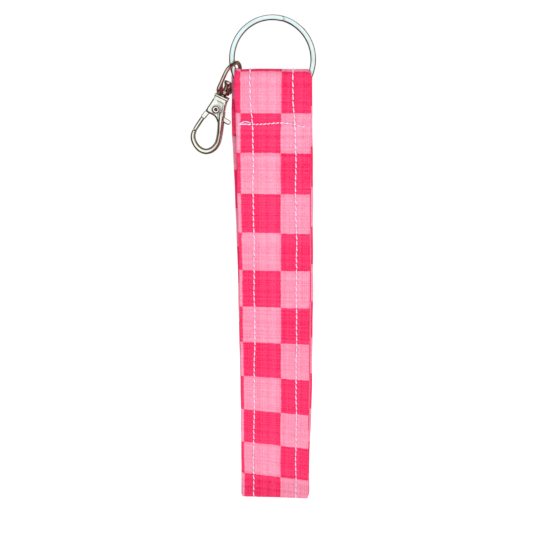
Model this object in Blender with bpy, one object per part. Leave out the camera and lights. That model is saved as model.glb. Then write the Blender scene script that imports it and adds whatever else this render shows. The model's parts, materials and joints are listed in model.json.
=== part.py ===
"""Wristlet keychain: a doubled fabric wrist strap, a split ring in its top fold, and a swivel snap clasp.

Metres, +Z up. The front faces -Y. The origin is on the strap's back face, at the centre of the bar seam.
The clasp is drawn in its own frame: u to the right, v up along the swivel axis, y to the back.
"""
import math

import bmesh
import bpy
from mathutils import Matrix, Vector

MM = 0.001
GAP = 0.3 * MM  # clearance between neighbouring pieces

# Strap: one band of this width, doubled back on itself.
STRAP_WIDTH = 25.4 * MM
LAYER = 2.0 * MM  # thickness of one layer
COVER_WALL = 0.4 * MM
CORE_THICKNESS = LAYER - 2 * (COVER_WALL + GAP)
LAYER_GAP = 0.3 * MM
MID_Y = -(LAYER + LAYER_GAP / 2)  # the plane between the two layers
LAYER_Y = (LAYER + LAYER_GAP) / 2  # a layer's centre, from that plane

# Heights along the strap
FOLD_TOP = 17.8 * MM
STRAP_BOTTOM = -142.2 * MM
FOLD_HINGE_Z = 3.4 * MM
LOOP_HINGE_Z = -4.0 * MM
MIDDLE_HINGE_Z = -72.45 * MM
FOLD_HINGE_GAP = 1.0 * MM  # from the hinge axis to the end of a panel
HINGE_GAP = 0.7 * MM
FOLD_STRAIGHT = 0.5 * MM  # flat stretch under the tunnel
TUNNEL_RADIUS = 2.3 * MM  # the layer's centre line round the ring
BEND_RADIUS = 1.7 * MM  # the layer's centre line round the bottom bend

# Thread
STITCH_ROWS = {"left": -7.4 * MM, "right": 8.0 * MM}
THREAD_WIDTH = 0.5 * MM
THREAD_THICKNESS = 0.25 * MM
THREAD_END = 1.0 * MM  # a row stops this far from a panel's end
BAR_SEAM_LEFT = -11.4 * MM
BAR_SEAM_RIGHT = 10.5 * MM

# Split ring: two coils of flat wire
RING_CENTRE = Vector((-0.2 * MM, MID_Y, 21.2 * MM))
RING_RADIUS = 13.5 * MM  # centre line of the wire
WIRE_WIDTH = 1.8 * MM
WIRE_THICKNESS = 0.85 * MM
COIL_PITCH = 0.97 * MM
CROSSOVER_DEG = 12.0  # half the stretch where the wire steps from coil to coil
CROSSOVER_AT_DEG = 62.0

# Clasp
CLASP_TILT = math.radians(25.5)
BAIL_AT = math.radians(198.5)  # where the ring passes through the bail
BAIL_TURN = math.radians(65.0)  # the bail's plane, turned about the swivel axis
BAIL_PIVOT_V = 8.6 * MM
CLASP_SHIFT = -0.45 * MM  # the clasp hangs this far to the left of the wire
BAIL_WIRE = 0.65 * MM
BAIL_HALF_WIDTH = 4.85 * MM
BAIL_BASE_V = 1.4 * MM
BAIL_SHOULDER_V = 7.65 * MM
BAIL_TOP_V = 12.3 * MM
BAIL_CORNER = 1.2 * MM
EYE_RADIUS = 2.0 * MM
EYE_THICKNESS = 1.3 * MM
POST_RADIUS = 0.8 * MM
POST_HEAD_RADIUS = 1.45 * MM
POST_BOTTOM_V = -1.6 * MM
POST_NECK_V = 4.3 * MM
POST_TOP_V = 5.2 * MM
BODY_THICKNESS = 4.0 * MM
SLOT_WIDTH = 2.6 * MM
SLOT_TOP_V = -2.5 * MM
SLOT_BOTTOM_V = -8.6 * MM
GATE_PIVOT = Vector((0.07 * MM, 0, -4.77 * MM))
GATE_Y = (-1.0 * MM, 0.4 * MM)
RIVET_RADIUS = 0.55 * MM
RIVET_HEAD_RADIUS = 1.5 * MM
RIVET_HEAD_THICKNESS = 0.45 * MM
SPRING_WIRE = 0.1 * MM
SPRING_RADIUS = 1.05 * MM
SPRING_Y = (0.72 * MM, 1.05 * MM)

# The snap's outline in (u, v), in millimetres: down the outside, round the hook, and back up the inside.
HOOK_TOP = [(-2.1, 0.4), (2.1, 0.4), (2.1, -0.4)]
HOOK_OUTSIDE = [(2.3, -1.4), (2.9, -4.0), (3.7, -6.6), (4.7, -9.4), (5.6, -12.2), (6.1, -15.1), (5.4, -18.1),
                (3.4, -20.0), (1.2, -20.3), (-0.9, -19.6), (-2.9, -18.1), (-4.0, -16.2), (-4.2, -14.5)]
HOOK_INSIDE = [(-2.8, -14.9), (-1.8, -17.0), (0.4, -18.6), (2.8, -18.4), (4.2, -16.6), (4.4, -14.3), (3.7, -11.9),
               (2.6, -9.6), (1.4, -8.0), (0.1, -7.2), (-1.2, -7.1)]
HOOK_SHOULDER = [(-3.0, -6.7), (-2.6, -3.8), (-2.1, -0.4)]
GATE_ARM = [(-2.2, -5.6), (-3.1, -7.2), (-3.7, -10.0), (-4.2, -13.4), (-2.9, -14.0), (-2.3, -10.6), (-1.7, -8.0),
            (-0.6, -7.1)]
GATE_TAB = [(1.3, -6.4), (3.8, -7.7), (5.6, -7.9), (6.2, -7.3), (6.1, -6.5), (5.4, -6.1), (3.8, -5.9), (1.7, -4.9)]


def clear_scene():
    for old in list(bpy.data.objects):
        bpy.data.objects.remove(old)


def material(name, colour, roughness, metallic):
    made = bpy.data.materials.new(name)
    made.use_nodes = True
    shader = made.node_tree.nodes["Principled BSDF"]
    shader.inputs["Base Color"].default_value = (*colour, 1.0)
    shader.inputs["Roughness"].default_value = roughness
    shader.inputs["Metallic"].default_value = metallic
    return made


def pivot(name, location, tilt=0.0):
    """An empty on a joint's axis, turned about Y by tilt."""
    empty = bpy.data.objects.new(name, None)
    bpy.context.collection.objects.link(empty)
    empty.matrix_world = Matrix.Translation(location) @ Matrix.Rotation(tilt, 4, "Y")
    return empty


def solid(name, bm, finish, parent=None, smooth=True):
    """Turns a bmesh into a named object. Its coordinates are the parent's."""
    bmesh.ops.recalc_face_normals(bm, faces=bm.faces)
    mesh = bpy.data.meshes.new(name)
    bm.to_mesh(mesh)
    bm.free()
    mesh.materials.append(finish)
    if smooth:
        mesh.shade_smooth()
        mesh.set_sharp_from_angle(angle=math.radians(35))
    made = bpy.data.objects.new(name, mesh)
    bpy.context.collection.objects.link(made)
    made.parent = parent
    return made


def cut(target, cutter, operation="DIFFERENCE"):
    """Cuts target by a hidden wire-frame object, or joins the two."""
    cutter.hide_render = True
    cutter.display_type = "WIRE"
    modifier = target.modifiers.new(operation.title(), "BOOLEAN")
    modifier.operation = operation
    modifier.object = cutter
    modifier.solver = "EXACT"


def skin(bm, rows, closed=False):
    """Quads between each row of vertices and the next; open rows get end caps."""
    pairs = list(zip(rows, rows[1:]))
    if closed:
        pairs.append((rows[-1], rows[0]))
    for row, after in pairs:
        for i in range(len(row)):
            j = (i + 1) % len(row)
            bm.faces.new((row[i], row[j], after[j], after[i]))
    if not closed:
        bm.faces.new(rows[0])
        bm.faces.new(rows[-1])


def ease(t):
    return t * t * (3 - 2 * t)


def flare(start, end, steps=5):
    """Points that ease sideways from start to end, both (y, z)."""
    run = [i / steps for i in range(steps + 1)]
    return [(start[0] + (end[0] - start[0]) * ease(t), start[1] + (end[1] - start[1]) * t) for t in run]


def arc(radius, centre_z, start_deg, end_deg, steps):
    turn = [math.radians(start_deg + (end_deg - start_deg) * i / steps) for i in range(steps + 1)]
    return [(radius * math.cos(a), centre_z + radius * math.sin(a)) for a in turn]


def mirrored(path):
    return [(-y, z) for y, z in reversed(path)]


def strap_paths():
    """Each panel's centre line as (y, z) from the middle plane: down the front, round, and up the back."""
    fold_bottom = FOLD_HINGE_Z + FOLD_HINGE_GAP
    tunnel_bottom = RING_CENTRE.z - RING_RADIUS - WIRE_WIDTH / 2 - GAP
    fold_centre = FOLD_TOP - TUNNEL_RADIUS - LAYER / 2
    fold_back = [(LAYER_Y, fold_bottom), (LAYER_Y, fold_bottom + FOLD_STRAIGHT), (TUNNEL_RADIUS, tunnel_bottom)]
    fold_back += arc(TUNNEL_RADIUS, fold_centre, 0, 90, 8)
    seam_front = [(-LAYER_Y, FOLD_HINGE_Z - FOLD_HINGE_GAP), (-LAYER_Y, LOOP_HINGE_Z + HINGE_GAP)]
    upper_front = [(-LAYER_Y, LOOP_HINGE_Z - HINGE_GAP), (-LAYER_Y, MIDDLE_HINGE_Z + HINGE_GAP)]
    bend_centre = STRAP_BOTTOM + LAYER / 2 + BEND_RADIUS
    bend_end = 180 + math.degrees(math.acos(HINGE_GAP / BEND_RADIUS))
    lower_front = [(-LAYER_Y, MIDDLE_HINGE_Z - HINGE_GAP)]
    lower_front += flare((-LAYER_Y, bend_centre + 2 * BEND_RADIUS), (-BEND_RADIUS, bend_centre))
    lower_front += arc(BEND_RADIUS, bend_centre, 180, bend_end, 6)[1:]
    return {
        "fold": fold_back + mirrored(fold_back)[1:],
        "seam_front": seam_front,
        "front_upper": upper_front,
        "front_lower": lower_front,
        "back_lower": mirrored(lower_front),
        "back_upper": mirrored(upper_front),
        "seam_back": mirrored(seam_front),
    }


def stations(path):
    """The (point, outward normal) pairs along a centre line."""
    pairs = []
    for i, (y, z) in enumerate(path):
        before = path[max(i - 1, 0)]
        after = path[min(i + 1, len(path) - 1)]
        along = Vector((0, after[0] - before[0], after[1] - before[1])).normalized()
        pairs.append((Vector((0, MID_Y + y, z)), Vector((0, along.z, -along.y))))
    return pairs


def band_rows(bm, pairs, x_low, x_high, inner, outer):
    """A rectangle of vertices at each station, between two x and two heights off the centre line."""
    corners = ((x_low, inner), (x_high, inner), (x_high, outer), (x_low, outer))
    return [[bm.verts.new(point + normal * height + Vector((x, 0, 0))) for x, height in corners]
            for point, normal in pairs]


def cut_start(path, amount):
    """The same centre line, less this length from its start."""
    rest = [Vector(point) for point in path]
    while (rest[1] - rest[0]).length <= amount:
        amount -= (rest[1] - rest[0]).length
        rest.pop(0)
    rest[0] += (rest[1] - rest[0]).normalized() * amount
    return [tuple(point) for point in rest]


def shortened(path, amount):
    """The same centre line, cut back at both ends."""
    return cut_start(cut_start(path, amount)[::-1], amount)[::-1]


def cover(name, path, finish, parent):
    """The fabric sleeve of one panel, open at both ends."""
    bm = bmesh.new()
    pairs = stations(path)
    half = STRAP_WIDTH / 2
    outside = band_rows(bm, pairs, -half, half, -LAYER / 2, LAYER / 2)
    room = half - COVER_WALL
    inside = band_rows(bm, pairs, -room, room, COVER_WALL - LAYER / 2, LAYER / 2 - COVER_WALL)
    for rows in (outside, inside):
        for row, after in zip(rows, rows[1:]):
            for i in range(4):
                j = (i + 1) % 4
                bm.faces.new((row[i], row[j], after[j], after[i]))
    for end in (0, -1):
        for i in range(4):
            j = (i + 1) % 4
            bm.faces.new((outside[end][i], outside[end][j], inside[end][j], inside[end][i]))
    return solid(name, bm, finish, parent)


def core(name, path, finish, parent):
    """The interfacing strip inside a panel."""
    bm = bmesh.new()
    half = STRAP_WIDTH / 2 - COVER_WALL - GAP
    skin(bm, band_rows(bm, stations(path), -half, half, -CORE_THICKNESS / 2, CORE_THICKNESS / 2))
    return solid(name, bm, finish, parent)


def stitch_row(name, path, x, finish, parent):
    """One row of thread on a panel's outer face."""
    bm = bmesh.new()
    inner = LAYER / 2 + GAP
    pairs = stations(shortened(path, THREAD_END))
    skin(bm, band_rows(bm, pairs, x - THREAD_WIDTH / 2, x + THREAD_WIDTH / 2, inner, inner + THREAD_THICKNESS))
    return solid(name, bm, finish, parent)


def bar_seam(finish):
    """The cross row that shuts the ring's tunnel. It lies over the two long rows."""
    bm = bmesh.new()
    front = MID_Y - LAYER_Y - LAYER / 2 - 2 * GAP - THREAD_THICKNESS
    half = THREAD_WIDTH / 2
    corners = ((front, -half), (front - THREAD_THICKNESS, -half), (front - THREAD_THICKNESS, half), (front, half))
    rows = [[bm.verts.new((x, y, z)) for y, z in corners] for x in (BAR_SEAM_LEFT, BAR_SEAM_RIGHT)]
    skin(bm, rows)
    return solid("bar_seam_thread", bm, finish)


def strap(parents, fabric, interfacing, thread):
    for panel, path in strap_paths().items():
        parent = parents.get(panel)
        pieces = [cover(f"{panel}_cover", path, fabric, parent),
                  core(f"{panel}_core", path, interfacing, parent)]
        rows = {} if panel == "seam_back" else STITCH_ROWS  # the seam's back face stays flat for the mount
        for side, x in rows.items():
            pieces.append(stitch_row(f"{panel}_stitch_{side}", path, x, thread, parent))
        if parent:
            for piece in pieces:
                piece.matrix_parent_inverse = parent.matrix_world.inverted()
        if panel == "fold":
            for piece in pieces[:2]:
                cut(piece, RING_CLEARANCE)
    bar_seam(thread)


def ring_frame(angle, centre):
    """A point on the ring's centre line and its outward direction."""
    outward = Vector((math.cos(angle), 0, math.sin(angle)))
    return centre + outward * RING_RADIUS, outward


def ring_clearance():
    """A plain ring, a gap larger than the split ring all round, that opens the fold's corners."""
    bm = bmesh.new()
    rows = []
    wide = WIRE_WIDTH / 2 + GAP
    deep = (COIL_PITCH + WIRE_THICKNESS) / 2 + GAP
    for i in range(72):
        point, outward = ring_frame(math.tau * i / 72, RING_CENTRE)
        rows.append([bm.verts.new(point + outward * r + Vector((0, y, 0)))
                     for r, y in ((-wide, -deep), (wide, -deep), (wide, deep), (-wide, deep))])
    skin(bm, rows, closed=True)
    return solid("ring_clearance_cutter", bm, bpy.data.materials["steel"])


def split_ring(parent, finish):
    """Two turns of flat wire that step from the front coil to the back coil."""
    bm = bmesh.new()
    rows = []
    turn = 720 - 2 * CROSSOVER_DEG
    steps = 88
    wide, thick, chamfer = WIRE_WIDTH / 2, WIRE_THICKNESS / 2, 0.2 * MM
    section = [(wide, thick - chamfer), (wide - chamfer, thick), (chamfer - wide, thick), (-wide, thick - chamfer),
               (-wide, chamfer - thick), (chamfer - wide, -thick), (wide - chamfer, -thick), (wide, chamfer - thick)]
    for i in range(steps + 1):
        run = turn * i / steps
        step = min(max((run - turn / 2) / (2 * CROSSOVER_DEG) + 0.5, 0.0), 1.0)
        shift = COIL_PITCH * (ease(step) - 0.5)
        angle = math.radians(CROSSOVER_AT_DEG + CROSSOVER_DEG + run)
        point, outward = ring_frame(angle, Vector())
        rows.append([bm.verts.new(point + outward * r + Vector((0, shift + y, 0))) for r, y in section])
    skin(bm, rows)
    return solid("split_ring", bm, finish, parent)


def tube(bm, points, radius, sides, closed=False):
    """A round wire along 3-D points, with its section turned to follow them."""
    rows = []
    count = len(points)
    side = Vector((0, 1, 0))
    for i, point in enumerate(points):
        before = points[i - 1] if closed else points[max(i - 1, 0)]
        after = points[(i + 1) % count] if closed else points[min(i + 1, count - 1)]
        along = (after - before).normalized()
        across = (side - along * side.dot(along)).normalized()
        third = along.cross(across)
        angles = [math.tau * k / sides for k in range(sides)]
        rows.append([bm.verts.new(point + (across * math.cos(a) + third * math.sin(a)) * radius) for a in angles])
    skin(bm, rows, closed)


def turned(bm, profile, sides=24):
    """A closed round body from (radius, height) points with both ends on the axis, which is Z."""
    rings = [[bm.verts.new((r * math.cos(math.tau * k / sides), r * math.sin(math.tau * k / sides), h))
              for k in range(sides)] for r, h in profile]
    skin(bm, rings)


def extruded(bm, outline, y_low, y_high):
    """A plate with this (u, v) outline between two y."""
    rows = [[bm.verts.new((u, y, v)) for u, v in outline] for y in (y_low, y_high)]
    skin(bm, rows)
    bm.normal_update()
    bmesh.ops.triangulate(bm, faces=[face for face in bm.faces if len(face.verts) > 4])


def rounded(points, steps=3):
    """A smooth open line through the points, in metres (Catmull-Rom)."""
    padded = [points[0]] + points + [points[-1]]
    line = []
    for a, b, c, d in zip(padded, padded[1:], padded[2:], padded[3:]):
        for i in range(steps):
            t = i / steps
            line.append(tuple(0.5 * MM * (2 * q + (r - p) * t + (2 * p - 5 * q + 4 * r - s) * t * t
                                          + (3 * q - p - 3 * r + s) * t ** 3)
                              for p, q, r, s in zip(a, b, c, d)))
    line.append(tuple(MM * q for q in points[-1]))
    return line


def bail_outline():
    """The D's centre line as (width, height) from the swivel axis, with its flat side at the bottom."""
    half, corner = BAIL_HALF_WIDTH, BAIL_CORNER
    line = []
    for i in range(5):
        a = math.radians(-90 + 90 * i / 4)
        line.append((half - corner + corner * math.cos(a), BAIL_BASE_V + corner + corner * math.sin(a)))
    for i in range(9):
        a = math.radians(90 * i / 8)
        line.append((half * math.cos(a), BAIL_SHOULDER_V + (BAIL_TOP_V - BAIL_SHOULDER_V) * math.sin(a)))
    return line + [(-w, h) for w, h in reversed(line[:-1])]


def swivel_bail(parent, finish):
    """The D-shaped wire bail with a flat eye round the swivel post. Its frame's origin is the ring's wire."""
    bm = bmesh.new()
    turn = Matrix.Rotation(BAIL_TURN, 4, "Z")
    offset = Vector((CLASP_SHIFT, 0, -BAIL_PIVOT_V))
    points = [turn @ Vector((width, 0, height)) + offset for width, height in bail_outline()]
    tube(bm, points, BAIL_WIRE, 8, closed=True)
    bail = solid("swivel_bail", bm, finish, parent)
    for name, radius, height, operation in (("bail_eye_joiner", EYE_RADIUS, EYE_THICKNESS, "UNION"),
                                            ("bail_eye_cutter", POST_RADIUS + GAP, 3 * EYE_THICKNESS, "DIFFERENCE")):
        bm = bmesh.new()
        turned(bm, [(radius, BAIL_BASE_V - height / 2), (radius, BAIL_BASE_V + height / 2)])
        bm.transform(Matrix.Translation(offset))
        cut(bail, solid(name, bm, finish, parent), operation)
    return bail


def swivel_post(parent, finish):
    bm = bmesh.new()
    turned(bm, [(POST_RADIUS, POST_BOTTOM_V), (POST_RADIUS, POST_NECK_V),
                (POST_HEAD_RADIUS, (POST_NECK_V + POST_TOP_V) / 2), (POST_HEAD_RADIUS, POST_TOP_V)])
    return solid("swivel_post", bm, finish, parent)


def hook_body(parent, finish):
    """The snap's body and fixed hook, slotted for the gate and bored for the post and the rivet."""
    bm = bmesh.new()
    corner = [(u * MM, v * MM) for u, v in HOOK_TOP]
    outline = corner + rounded(HOOK_OUTSIDE) + rounded(HOOK_INSIDE) + rounded(HOOK_SHOULDER)
    extruded(bm, outline, -BODY_THICKNESS / 2, BODY_THICKNESS / 2)
    body = solid("hook_body", bm, finish, parent)

    bm = bmesh.new()
    wide = 10 * MM
    slot = [(-wide, SLOT_BOTTOM_V), (wide, SLOT_BOTTOM_V), (wide, SLOT_TOP_V), (-wide, SLOT_TOP_V)]
    extruded(bm, slot, -SLOT_WIDTH / 2, SLOT_WIDTH / 2)
    cut(body, solid("gate_slot_cutter", bm, finish, parent))

    bm = bmesh.new()
    turned(bm, [(POST_RADIUS + GAP, POST_BOTTOM_V - GAP), (POST_RADIUS + GAP, 2 * MM)])
    cut(body, solid("post_socket_cutter", bm, finish, parent))
    cut(body, rivet_hole_cutter("body_rivet_hole_cutter", parent, finish))
    return body


def rivet_hole_cutter(name, parent, finish):
    bm = bmesh.new()
    turned(bm, [(RIVET_RADIUS + GAP, -BODY_THICKNESS), (RIVET_RADIUS + GAP, BODY_THICKNESS)])
    lay_on_pivot(bm)
    return solid(name, bm, finish, parent)


def lay_on_pivot(bm):
    """Turns a round body's axis from v to y and moves it to the gate's pivot."""
    bm.transform(Matrix.Translation(GATE_PIVOT) @ Matrix.Rotation(math.radians(90), 4, "X"))


def gate_lever(parent, finish):
    """The hinged gate: a hub on the rivet, an arm that shuts the hook, and a thumb tab."""
    bm = bmesh.new()
    outline = rounded(GATE_ARM) + rounded(GATE_TAB) + hub_arc()
    extruded(bm, outline, *GATE_Y)
    lever = solid("gate_lever", bm, finish, parent)
    lever.matrix_parent_inverse = Matrix.Translation(-GATE_PIVOT)
    cutter = rivet_hole_cutter("gate_rivet_hole_cutter", parent, finish)
    cutter.matrix_parent_inverse = Matrix.Translation(-GATE_PIVOT)
    cut(lever, cutter)
    return lever


def hub_arc():
    """The hub's top, from the tab round to the arm."""
    radius = 1.7 * MM
    angles = [math.radians(20 + 160 * i / 8) for i in range(9)]
    return [(GATE_PIVOT.x + radius * math.cos(a), GATE_PIVOT.z + radius * math.sin(a)) for a in angles]


def pivot_rivet(parent, finish):
    """The gate's rivet, with a head outside each cheek."""
    bm = bmesh.new()
    inner = BODY_THICKNESS / 2 + GAP
    outer = inner + RIVET_HEAD_THICKNESS
    half = [(RIVET_HEAD_RADIUS, outer), (RIVET_HEAD_RADIUS, inner), (RIVET_RADIUS, inner)]
    turned(bm, half + [(r, -h) for r, h in reversed(half)])
    lay_on_pivot(bm)
    return solid("pivot_rivet", bm, finish, parent)


def gate_spring(parent, finish):
    """A one-turn torsion spring round the rivet: one leg on the body, one beside the gate's arm."""
    bm = bmesh.new()
    left = GATE_PIVOT.x - SPRING_RADIUS
    y_start, y_end = SPRING_Y
    points = [Vector((left, y_start, SLOT_TOP_V - GAP))]
    for i in range(17):
        a = math.radians(180 + 360 * i / 16)
        y = y_start + (y_end - y_start) * i / 16
        points.append(GATE_PIVOT + Vector((SPRING_RADIUS * math.cos(a), y, SPRING_RADIUS * math.sin(a))))
    points.append(Vector((left - 0.6 * MM, y_end, GATE_PIVOT.z - 3 * MM)))
    tube(bm, points, SPRING_WIRE, 6)
    return solid("gate_spring", bm, finish, parent)


clear_scene()
STEEL = material("steel", (0.78, 0.79, 0.81), 0.18, 1.0)
BRIGHT_NICKEL = material("bright_nickel", (0.74, 0.73, 0.72), 0.15, 1.0)
SPRING_STEEL = material("spring_steel", (0.45, 0.45, 0.47), 0.3, 1.0)
COTTON = material("pink_cotton", (0.95, 0.16, 0.30), 0.9, 0.0)
INTERFACING = material("white_interfacing", (0.85, 0.84, 0.82), 0.95, 0.0)
THREAD = material("lilac_thread", (0.88, 0.68, 0.84), 0.6, 0.0)

RING_CLEARANCE = ring_clearance()
WIRE_IN_BAIL = ring_frame(BAIL_AT, RING_CENTRE)[0]
CLASP_TURN = Matrix.Rotation(CLASP_TILT, 3, "Y")
CLASP_ORIGIN = WIRE_IN_BAIL + CLASP_TURN @ Vector((CLASP_SHIFT, 0, -BAIL_PIVOT_V))
GATE_PIVOT_WORLD = CLASP_ORIGIN + CLASP_TURN @ GATE_PIVOT
FRONT_Y = MID_Y - LAYER_Y
BACK_Y = MID_Y + LAYER_Y

strap({
    "fold": pivot("fold_pivot", (0, MID_Y, FOLD_HINGE_Z)),
    "front_upper": pivot("loop_front_pivot", (0, FRONT_Y, LOOP_HINGE_Z)),
    "front_lower": pivot("front_middle_pivot", (0, FRONT_Y, MIDDLE_HINGE_Z)),
    "back_lower": pivot("bottom_fold_pivot", (0, MID_Y, STRAP_BOTTOM + LAYER / 2)),
    "back_upper": pivot("back_middle_pivot", (0, BACK_Y, MIDDLE_HINGE_Z)),
}, COTTON, INTERFACING, THREAD)
split_ring(pivot("ring_pivot", RING_CENTRE), STEEL)
swivel_bail(pivot("bail_pivot", WIRE_IN_BAIL, CLASP_TILT), BRIGHT_NICKEL)
SWIVEL = pivot("swivel_pivot", CLASP_ORIGIN, CLASP_TILT)
swivel_post(SWIVEL, BRIGHT_NICKEL)
hook_body(SWIVEL, BRIGHT_NICKEL)
pivot_rivet(SWIVEL, BRIGHT_NICKEL)
gate_spring(SWIVEL, SPRING_STEEL)
gate_lever(pivot("gate_pivot", GATE_PIVOT_WORLD, CLASP_TILT), BRIGHT_NICKEL)
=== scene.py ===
"""Looks of the wristlet keychain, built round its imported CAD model.

Metres, +Z up, front towards -Y, as in the CAD. Places come from the frame; small details have named sizes.
The strap is one band. A point on it has x across, q along and a height off the band's centre line. q is 0 at
the bar seam and grows down the front, round the bottom and up the back. It is negative over the ring.
"""
import json
import math
import random

import bmesh
import bpy
import numpy as np
from mathutils import Matrix, Vector

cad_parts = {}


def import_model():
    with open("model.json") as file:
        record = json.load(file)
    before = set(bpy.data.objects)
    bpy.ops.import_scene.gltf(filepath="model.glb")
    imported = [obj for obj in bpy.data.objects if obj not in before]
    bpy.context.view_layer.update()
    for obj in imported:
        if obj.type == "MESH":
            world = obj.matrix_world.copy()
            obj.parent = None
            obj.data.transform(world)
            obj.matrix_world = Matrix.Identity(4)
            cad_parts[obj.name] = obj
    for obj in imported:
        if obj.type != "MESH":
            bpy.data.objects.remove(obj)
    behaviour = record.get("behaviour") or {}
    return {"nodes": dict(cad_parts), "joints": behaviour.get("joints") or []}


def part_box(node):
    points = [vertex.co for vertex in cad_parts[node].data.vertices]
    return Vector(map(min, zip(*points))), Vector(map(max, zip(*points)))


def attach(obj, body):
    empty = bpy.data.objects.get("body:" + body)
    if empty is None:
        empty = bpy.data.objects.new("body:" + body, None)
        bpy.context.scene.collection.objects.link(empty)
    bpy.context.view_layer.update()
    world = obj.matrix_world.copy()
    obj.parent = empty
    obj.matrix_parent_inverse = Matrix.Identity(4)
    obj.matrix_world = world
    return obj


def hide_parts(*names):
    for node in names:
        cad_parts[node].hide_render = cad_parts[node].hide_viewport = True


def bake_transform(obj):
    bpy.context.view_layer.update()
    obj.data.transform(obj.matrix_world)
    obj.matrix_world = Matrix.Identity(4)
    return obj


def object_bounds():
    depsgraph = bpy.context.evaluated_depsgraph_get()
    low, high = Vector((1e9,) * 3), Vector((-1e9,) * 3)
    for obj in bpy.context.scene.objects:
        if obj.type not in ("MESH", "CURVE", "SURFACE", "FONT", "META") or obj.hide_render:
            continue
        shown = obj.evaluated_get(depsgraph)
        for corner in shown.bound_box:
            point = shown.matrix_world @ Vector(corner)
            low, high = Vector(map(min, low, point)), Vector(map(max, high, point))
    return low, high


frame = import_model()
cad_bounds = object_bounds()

MM = 0.001

# The strap's place and size, from its CAD covers
FRONT_LOW, FRONT_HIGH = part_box("front_upper_cover")
BACK_LOW, BACK_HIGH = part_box("back_upper_cover")
FOLD_LOW, FOLD_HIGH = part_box("fold_cover")
BEND_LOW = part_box("front_lower_cover")[0]
HALF_WIDTH = FRONT_HIGH.x
LAYER = FRONT_HIGH.y - FRONT_LOW.y
MID_Y = (FRONT_LOW.y + BACK_HIGH.y) / 2
LAYER_Y = (BACK_HIGH.y - FRONT_LOW.y - LAYER) / 2
TUNNEL_RADIUS = (FOLD_HIGH.y - FOLD_LOW.y - LAYER) / 2
TUNNEL_Z = FOLD_HIGH.z - TUNNEL_RADIUS - LAYER / 2
BEND_RADIUS = MID_Y - BEND_LOW.y - LAYER / 2
BEND_Z = BEND_LOW.z + BEND_RADIUS + LAYER / 2

JOINTS = {joint["name"]: joint for joint in frame["joints"]}
FOLD_PIVOT = Vector(JOINTS["fold_flex"]["pos_m"])
LOOP_PIVOT = Vector(JOINTS["loop_open"]["pos_m"])
MIDDLE_PIVOT = Vector(JOINTS["front_middle_bend"]["pos_m"])
BACK_PIVOT = Vector(JOINTS["back_middle_bend"]["pos_m"])
RING_CENTRE = Vector(JOINTS["ring_turn"]["pos_m"])
SWIVEL = Vector(JOINTS["clasp_swivel"]["pos_m"])
SWIVEL_AXIS = Vector(JOINTS["clasp_swivel"]["axis"])
GATE_PIVOT = Vector(JOINTS["gate_open"]["pos_m"])

# Cloth
HALF_LAYER = 0.95 * MM
BACK_TOP = LOOP_PIVOT.z
SEAM_BACK_END = BACK_TOP + 0.05 * MM
TUNNEL_FLARE = 4.6 * MM  # the height over which the layers part to pass the ring
CREST_PRINT = 0.95 * MM  # the print is laid out this far outside the centre line over the ring
BEND_PRINT = 0.5 * MM  # and this far at the bottom, where the layer is squeezed
CREST_LIFT = 0.5 * MM
LEFT_LIP = 0.5 * MM  # the crest's left corner stands up beside the ring's wire
BAIL_DENT = 0.5 * MM  # and is dented behind, where the swinging bail comes down on it
RIGHT_DIP = 0.3 * MM  # its right corner hangs a little
BOTTOM_DROP = 0.6 * MM
BOTTOM_SLANT = 0.17 * MM  # the left end of the bottom hangs this much lower than its middle
BACK_REACH = 34 * MM  # the back layer's lean dies out over about this length
EDGE = 0.9 * MM  # the rounded left edge
LIP = 0.7 * MM  # each of the two folded edges on the right
FACE_POINTS = 72
EDGE_POINTS = 10
ROW_SPACING = 0.5 * MM
BEND_SPACING = 0.12 * MM
END_ROUND = 0.8 * MM
BACK_SHIFT = -1.6 * MM  # the back layer sits this far to the left near the top
WAIST = 0.45 * MM  # the left edge draws in this much at mid length
PRINT_SKEW = 2.4 * MM  # the print's mismatch between the two folded edges
CHECK = 13.7 * MM
CHECK_ROW = 3.8 * MM
CHECK_COLUMN = 2.65 * MM

# How far the printed rows stray from an even pitch down the band
PRINT_DRIFT_Q = np.array([-20, -4, 10, 24, 37, 110, 126, 134, 150]) * MM
PRINT_DRIFT = np.array([0.1, 0.2, 0.33, -0.13, -0.3, -0.15, 0.1, 0.6, 0.6]) * MM

# Thread
THREAD_RADIUS = 0.2 * MM
STITCH_PITCH = 2.1 * MM
BAR_PITCH = 1.45 * MM
STITCH_X = {side: sum(corner.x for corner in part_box(f"front_upper_stitch_{side}")) / 2
            for side in ("left", "right")}
ROW_OFFSET = {"left": -0.05, "right": -1.2}  # mm, over the ring
ROW_DRIFT = {"left": ((0.65, -17, 22), (-1.1, 62, 80), (0.9, 160, 90)),
             "right": ((0.4, -16, 14), (0.55, -10, 24), (0.45, 8, 50), (-0.5, 150, 90))}
CHANNEL_DEPTH = 0.16 * MM
CHANNEL_WIDTH = 0.6 * MM
HOLE_DEPTH = 0.12 * MM
HOLE_WIDTH = 0.4 * MM

# Split ring
RING_LOW, RING_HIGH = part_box("split_ring")
RING_WIDTH = 1.8 * MM
RING_THICK = 0.85 * MM

# Clasp, in its own frame: u to the right, y to the back, v up the swivel axis
CLASP_SIDE = Vector((0, 1, 0)).cross(SWIVEL_AXIS)
CLASP = Matrix.Translation(SWIVEL) @ Matrix((CLASP_SIDE, (0, 1, 0), SWIVEL_AXIS)).transposed().to_4x4()
GATE_AT = CLASP.inverted() @ GATE_PIVOT
GATE_HUB = (GATE_AT.x / MM, 0, GATE_AT.z / MM)
VOXEL = 0.075 * MM


# ---------------------------------------------------------------- small helpers

def ease(t):
    t = np.clip(t, 0.0, 1.0)
    return t * t * (3 - 2 * t)


def bump(t):
    return np.exp(-t * t)


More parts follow.
